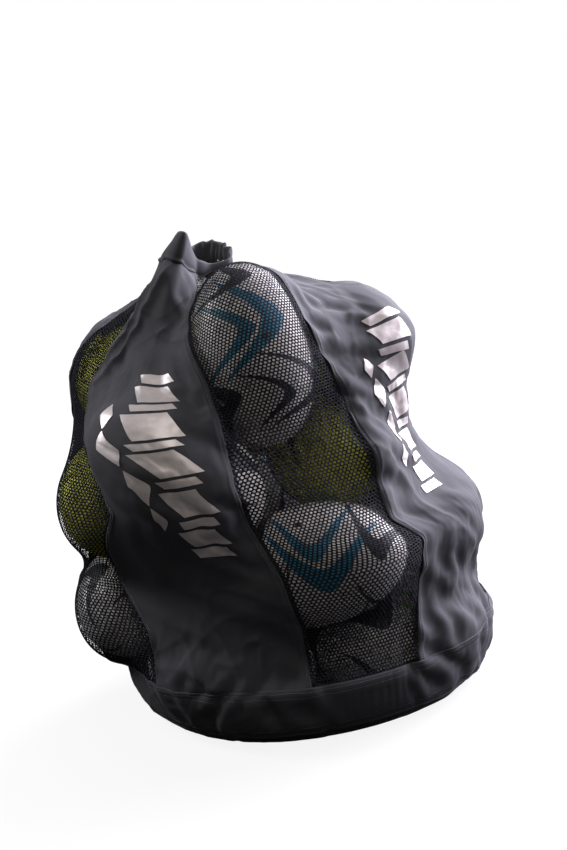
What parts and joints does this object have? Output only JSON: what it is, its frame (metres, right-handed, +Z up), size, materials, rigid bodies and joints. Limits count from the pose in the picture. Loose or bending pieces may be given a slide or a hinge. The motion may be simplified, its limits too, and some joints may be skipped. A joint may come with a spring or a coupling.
{
  "type": "ball carry bag with balls",
  "caption": "Tall soft carry bag of coated panels and open net, drawn in at the mouth and filled with oval rugby balls that can each turn in place.",
  "frame": {"origin": "on the floor under the middle of the base", "axes": "+Z up, front towards -Y"},
  "size_m": [0.652, 0.5936, 0.7244],
  "materials": {
    "coated_nylon": "coated, slight sheen",
    "net": "matt open net",
    "binding_tape": "matt woven tape",
    "piping": "satin bound edge",
    "base_sheet": "matt",
    "eyelet": "nickel plated",
    "cover_white": "pebbled",
    "cover_yellow": "pebbled",
    "bladder": "smooth"
  },
  "bodies": {
    "bag": {"back_left_nylon": "coated_nylon", "back_mesh": "net", "back_right_nylon": "coated_nylon", "band_seam_tape": "binding_tape", "base_band": "coated_nylon", "base_piping": "piping", "base_sheet": "base_sheet", "front_left_nylon": "coated_nylon", "front_mesh": "net", "front_right_nylon": "coated_nylon", "hem_eyelets": "eyelet", "left_mesh": "net", "mouth_hem": "coated_nylon", "right_mesh": "net", "seam_tape_back_left": "binding_tape", "seam_tape_back_right": "binding_tape", "seam_tape_front_left": "binding_tape", "seam_tape_front_right": "binding_tape", "seam_tape_left_back": "binding_tape", "seam_tape_left_front": "binding_tape", "seam_tape_right_back": "binding_tape", "seam_tape_right_front": "binding_tape"},
    "ball_bottom_front_right": {"cover_bottom_front_right": "cover_white", "bladder_bottom_front_right": "bladder"},
    "ball_bottom_front_left": {"cover_bottom_front_left": "cover_white", "bladder_bottom_front_left": "bladder"},
    "ball_bottom_left": {"cover_bottom_left": "cover_white", "bladder_bottom_left": "bladder"},
    "ball_bottom_right": {"cover_bottom_right": "cover_white", "bladder_bottom_right": "bladder"},
    "ball_bottom_back": {"cover_bottom_back": "cover_white", "bladder_bottom_back": "bladder"},
    "ball_middle_front": {"cover_middle_front": "cover_white", "bladder_middle_front": "bladder"},
    "ball_middle_right": {"cover_middle_right": "cover_white", "bladder_middle_right": "bladder"},
    "ball_middle_back": {"cover_middle_back": "cover_white", "bladder_middle_back": "bladder"},
    "ball_middle_left": {"cover_middle_left": "cover_yellow", "bladder_middle_left": "bladder"},
    "ball_upper_left": {"cover_upper_left": "cover_yellow", "bladder_upper_left": "bladder"},
    "ball_upper_right": {"cover_upper_right": "cover_yellow", "bladder_upper_right": "bladder"},
    "ball_upper_front": {"cover_upper_front": "cover_white", "bladder_upper_front": "bladder"},
    "ball_upper_back": {"cover_upper_back": "cover_white", "bladder_upper_back": "bladder"},
    "ball_top_front": {"cover_top_front": "cover_white", "bladder_top_front": "bladder"},
    "ball_top_right": {"cover_top_right": "cover_white", "bladder_top_right": "bladder"}
  },
  "joints": [
    {"name": "spin_bottom_front_right", "type": "hinge", "parent": "bag", "child": "ball_bottom_front_right", "pos_m": [0.13213, -0.1371, 0.0909], "axis": [0.866, 0.5, 0], "continuous": true},
    {"name": "spin_bottom_front_left", "type": "hinge", "parent": "bag", "child": "ball_bottom_front_left", "pos_m": [-0.12344, -0.15149, 0.0909], "axis": [0.848, -0.5299, 0], "continuous": true},
    {"name": "spin_bottom_left", "type": "hinge", "parent": "bag", "child": "ball_bottom_left", "pos_m": [-0.26122, 0.02273, 0.16638], "axis": [0.1736, 0.9848, 0], "continuous": true},
    {"name": "spin_bottom_right", "type": "hinge", "parent": "bag", "child": "ball_bottom_right", "pos_m": [0.14218, 0.13751, 0.0909], "axis": [-0.6428, 0.766, 0], "continuous": true},
    {"name": "spin_bottom_back", "type": "hinge", "parent": "bag", "child": "ball_bottom_back", "pos_m": [-0.09223, 0.18215, 0.0909], "axis": [0.848, 0.5299, 0], "continuous": true},
    {"name": "spin_middle_front", "type": "hinge", "parent": "bag", "child": "ball_middle_front", "pos_m": [0.02175, -0.19769, 0.24312], "axis": [0.9871, -0.1212, 0.1045], "continuous": true},
    {"name": "spin_middle_right", "type": "hinge", "parent": "bag", "child": "ball_middle_right", "pos_m": [0.1973, -0.00284, 0.2362], "axis": [-0.0349, 0.9988, 0.0349], "continuous": true},
    {"name": "spin_middle_back", "type": "hinge", "parent": "bag", "child": "ball_middle_back", "pos_m": [-0.00408, 0.14176, 0.24741], "axis": [0.9397, 0.342, 0], "continuous": true},
    {"name": "spin_middle_left", "type": "hinge", "parent": "bag", "child": "ball_middle_left", "pos_m": [-0.25674, -0.01136, 0.34213], "axis": [0.0695, 0.9938, 0.0872], "continuous": true},
    {"name": "spin_upper_left", "type": "hinge", "parent": "bag", "child": "ball_upper_left", "pos_m": [-0.20847, 0.08002, 0.51145], "axis": [0.1549, 0.9781, 0.1392], "continuous": true},
    {"name": "spin_upper_right", "type": "hinge", "parent": "bag", "child": "ball_upper_right", "pos_m": [0.07289, -0.05057, 0.36556], "axis": [-0.3746, 0.9272, 0], "continuous": true},
    {"name": "spin_upper_front", "type": "hinge", "parent": "bag", "child": "ball_upper_front", "pos_m": [-0.14777, -0.17556, 0.40757], "axis": [0.7501, -0.3031, -0.5878], "continuous": true},
    {"name": "spin_upper_back", "type": "hinge", "parent": "bag", "child": "ball_upper_back", "pos_m": [-0.04701, 0.20384, 0.41039], "axis": [0.9988, -0.0349, 0.0349], "continuous": true},
    {"name": "spin_top_front", "type": "hinge", "parent": "bag", "child": "ball_top_front", "pos_m": [-0.01618, -0.10706, 0.54296], "axis": [-0.0761, 0.4317, 0.8988], "continuous": true},
    {"name": "spin_top_right", "type": "hinge", "parent": "bag", "child": "ball_top_right", "pos_m": [0.1079, 0.05769, 0.51347], "axis": [0.6403, -0.7631, 0.0872], "continuous": true}
  ]
}
